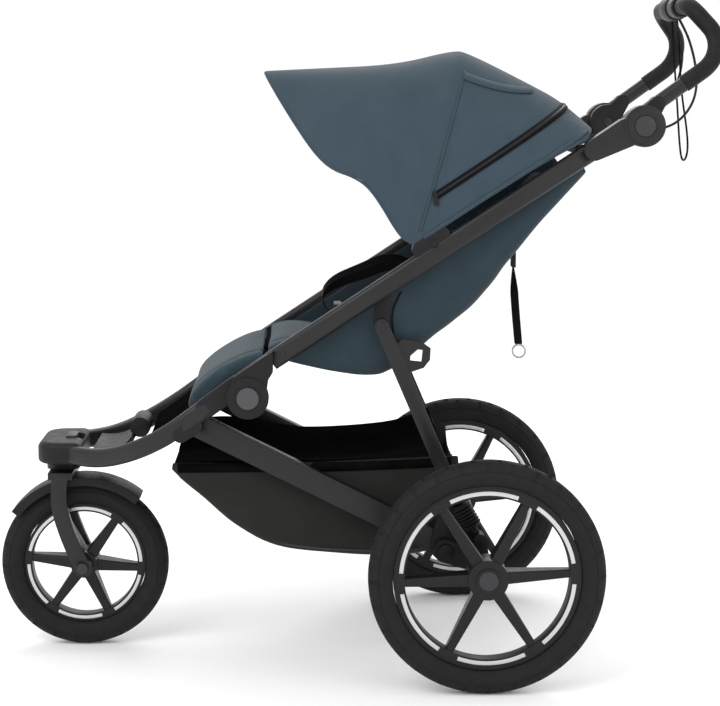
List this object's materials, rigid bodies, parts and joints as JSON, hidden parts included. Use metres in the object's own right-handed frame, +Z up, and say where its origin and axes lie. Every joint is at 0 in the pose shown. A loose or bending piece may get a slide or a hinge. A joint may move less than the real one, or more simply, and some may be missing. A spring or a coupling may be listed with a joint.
{
  "type": "folding three-wheel baby stroller",
  "caption": "Folding three-wheel pushchair for walking and jogging, with sprung rear wheels, swivelling front wheel, reclining padded seat, folding shade, basket and turning handlebar.",
  "frame": {"origin": "on the floor, below the middle of the whole part's box", "axes": "-Y towards the front wheel, +Y towards the handlebar, +Z up, +X across, towards the side the picture was taken from"},
  "size_m": [0.694, 1.2677, 1.174],
  "materials": {
    "satin_metal": "satin charcoal anodised",
    "black_plastic": "matte black",
    "wheel_plastic": "satin dark grey",
    "tyre": "matte",
    "reflector": "bright silver",
    "steel": "satin",
    "shade_fabric": "blue-grey canvas",
    "seat_fabric": "blue-grey canvas",
    "basket_fabric": "dark olive-grey canvas",
    "cover_fabric": "black coated cloth",
    "webbing": "black webbing",
    "foam": "matte black grip",
    "button_plastic": "satin grey"
  },
  "bodies": {
    "chassis": {"lower_tubes": "satin_metal", "rear_knuckles": "black_plastic", "rear_crossbar": "satin_metal", "spring_units": "foam", "basket": "basket_fabric", "basket_cover": "cover_fabric"},
    "swing_arm_L": {"swing_arm_L": "black_plastic"},
    "swing_arm_R": {"swing_arm_R": "black_plastic"},
    "rear_wheel_L": {"rear_tyre_L": "tyre", "rear_rim_L": "wheel_plastic", "rear_reflectors_L": "reflector"},
    "rear_wheel_R": {"rear_tyre_R": "tyre", "rear_rim_R": "wheel_plastic", "rear_reflectors_R": "reflector"},
    "hub_button_L": {"hub_button_L": "button_plastic"},
    "hub_button_R": {"hub_button_R": "button_plastic"},
    "front_frame": {"nose_housing": "black_plastic", "front_tubes": "satin_metal", "front_hinges": "black_plastic", "fold_brackets": "black_plastic", "footrest": "black_plastic", "footwell": "cover_fabric", "calf_rest": "seat_fabric"},
    "swivel_lock": {"swivel_lock": "button_plastic"},
    "fork": {"fork": "satin_metal", "front_axle": "steel", "mudguard": "black_plastic"},
    "front_wheel": {"front_tyre": "tyre", "front_rim": "wheel_plastic", "front_reflectors": "reflector"},
    "upper_frame": {"upper_rails": "satin_metal", "rail_hinges": "black_plastic", "leg_brackets": "black_plastic", "handle_housings": "satin_metal", "canopy_mounts": "black_plastic", "seat_sling": "seat_fabric", "seat_cushion": "seat_fabric", "seat_bars": "satin_metal", "buckle": "black_plastic", "lap_belts": "webbing", "canopy_fabric": "shade_fabric", "strap_slider": "black_plastic"},
    "backrest": {"back_cushion": "seat_fabric", "shoulder_belts": "webbing"},
    "buckle_button": {"buckle_button": "button_plastic"},
    "recline_strap": {"recline_strap": "webbing", "strap_ring": "steel"},
    "canopy_front_bow": {"canopy_front_bow": "black_plastic"},
    "canopy_middle_bow": {"canopy_middle_bow": "black_plastic"},
    "handlebar": {"handlebar_tube": "satin_metal", "grip": "foam", "handle_hubs": "black_plastic", "brake_housing": "black_plastic", "brake_cables": "black_plastic", "wrist_strap": "webbing"},
    "brake_twist": {"brake_twist": "button_plastic"},
    "handle_button_L": {"handle_button_L": "button_plastic"},
    "handle_button_R": {"handle_button_R": "button_plastic"},
    "rear_leg_L": {"rear_leg_L": "satin_metal"},
    "rear_leg_R": {"rear_leg_R": "satin_metal"}
  },
  "joints": [
    {"name": "front_fold", "type": "hinge", "parent": "chassis", "child": "front_frame", "pos_m": [0, -0.275, 0.44], "axis": [1, 0, 0], "range_deg": [0, 78]},
    {"name": "frame_fold", "type": "hinge", "parent": "front_frame", "child": "upper_frame", "pos_m": [0, -0.18, 0.491], "axis": [1, 0, 0], "range_deg": [-104.82, 0], "deforming": ["seat_sling", "seat_cushion", "basket", "basket_cover", "footwell", "calf_rest", "lap_belts"]},
    {"name": "leg_fold_L", "type": "hinge", "parent": "chassis", "child": "rear_leg_L", "pos_m": [0, 0.172, 0.32], "axis": [1, 0, 0], "range_deg": [0, 20.87]},
    {"name": "leg_fold_R", "type": "hinge", "parent": "chassis", "child": "rear_leg_R", "pos_m": [0, 0.172, 0.32], "axis": [1, 0, 0], "range_deg": [0, 20.87]},
    {"name": "swing_L", "type": "hinge", "parent": "chassis", "child": "swing_arm_L", "pos_m": [0, 0.1576, 0.222], "axis": [1, 0, 0], "range_deg": [0, 12], "stiffness_Nm_per_rad": 60, "springref_deg": -5.16, "deforming": ["spring_units"]},
    {"name": "rear_spin_L", "type": "hinge", "parent": "swing_arm_L", "child": "rear_wheel_L", "pos_m": [0, 0.2215, 0.2], "axis": [1, 0, 0], "continuous": true},
    {"name": "hub_press_L", "type": "slide", "parent": "rear_wheel_L", "child": "hub_button_L", "axis": [-1, 0, 0], "range_m": [0, 0.003], "stiffness_N_per_m": 400, "springref_m": -0.002},
    {"name": "handle_press_L", "type": "slide", "parent": "upper_frame", "child": "handle_button_L", "axis": [-1, 0, 0], "range_m": [0, 0.004], "stiffness_N_per_m": 400, "springref_m": -0.002},
    {"name": "swing_R", "type": "hinge", "parent": "chassis", "child": "swing_arm_R", "pos_m": [0, 0.1576, 0.222], "axis": [1, 0, 0], "range_deg": [0, 12], "stiffness_Nm_per_rad": 60, "springref_deg": -5.16, "deforming": ["spring_units"]},
    {"name": "rear_spin_R", "type": "hinge", "parent": "swing_arm_R", "child": "rear_wheel_R", "pos_m": [0, 0.2215, 0.2], "axis": [1, 0, 0], "continuous": true},
    {"name": "hub_press_R", "type": "slide", "parent": "rear_wheel_R", "child": "hub_button_R", "axis": [1, 0, 0], "range_m": [0, 0.003], "stiffness_N_per_m": 400, "springref_m": -0.002},
    {"name": "handle_press_R", "type": "slide", "parent": "upper_frame", "child": "handle_button_R", "axis": [1, 0, 0], "range_m": [0, 0.004], "stiffness_N_per_m": 400, "springref_m": -0.002},
    {"name": "swivel", "type": "hinge", "parent": "front_frame", "child": "fork", "pos_m": [0, -0.523, 0.36], "axis": [0, 0, 1], "continuous": true},
    {"name": "front_spin", "type": "hinge", "parent": "fork", "child": "front_wheel", "pos_m": [0, -0.487, 0.152], "axis": [1, 0, 0], "continuous": true},
    {"name": "swivel_lock_slide", "type": "slide", "parent": "front_frame", "child": "swivel_lock", "axis": [0, 1, 0], "range_m": [0, 0.01]},
    {"name": "recline", "type": "hinge", "parent": "upper_frame", "child": "backrest", "pos_m": [0, 0.084, 0.566], "axis": [1, 0, 0], "range_deg": [0, 25]},
    {"name": "buckle_press", "type": "slide", "parent": "upper_frame", "child": "buckle_button", "axis": [0, 1, 0], "range_m": [0, 0.002], "stiffness_N_per_m": 400, "springref_m": -0.001},
    {"name": "strap_swing", "type": "hinge", "parent": "upper_frame", "child": "recline_strap", "pos_m": [0.075, 0.285, 0.702], "axis": [1, 0, 0], "range_deg": [-30, 30]},
    {"name": "canopy_front", "type": "hinge", "parent": "upper_frame", "child": "canopy_front_bow", "pos_m": [0, 0.1346, 0.7526], "axis": [1, 0, 0], "range_deg": [-72, 0], "deforming": ["canopy_fabric"]},
    {"name": "canopy_middle", "type": "hinge", "parent": "upper_frame", "child": "canopy_middle_bow", "pos_m": [0, 0.1346, 0.7526], "axis": [1, 0, 0], "range_deg": [-36, 0]},
    {"name": "handle_angle", "type": "hinge", "parent": "upper_frame", "child": "handlebar", "pos_m": [0, 0.4867, 0.949], "axis": [1, 0, 0], "range_deg": [-50, 35]},
    {"name": "brake_turn", "type": "hinge", "parent": "handlebar", "child": "brake_twist", "pos_m": [0, 0.574, 1.152], "axis": [1, 0, 0], "range_deg": [0, 60]}
  ],
  "couplings": [
    {"joint": "front_fold", "follows": "frame_fold", "ratio": -0.74413},
    {"joint": "leg_fold_L", "follows": "frame_fold", "ratio": -0.19907},
    {"joint": "leg_fold_R", "follows": "frame_fold", "ratio": -0.19907},
    {"joint": "canopy_middle", "follows": "canopy_front", "ratio": 0.5}
  ]
}
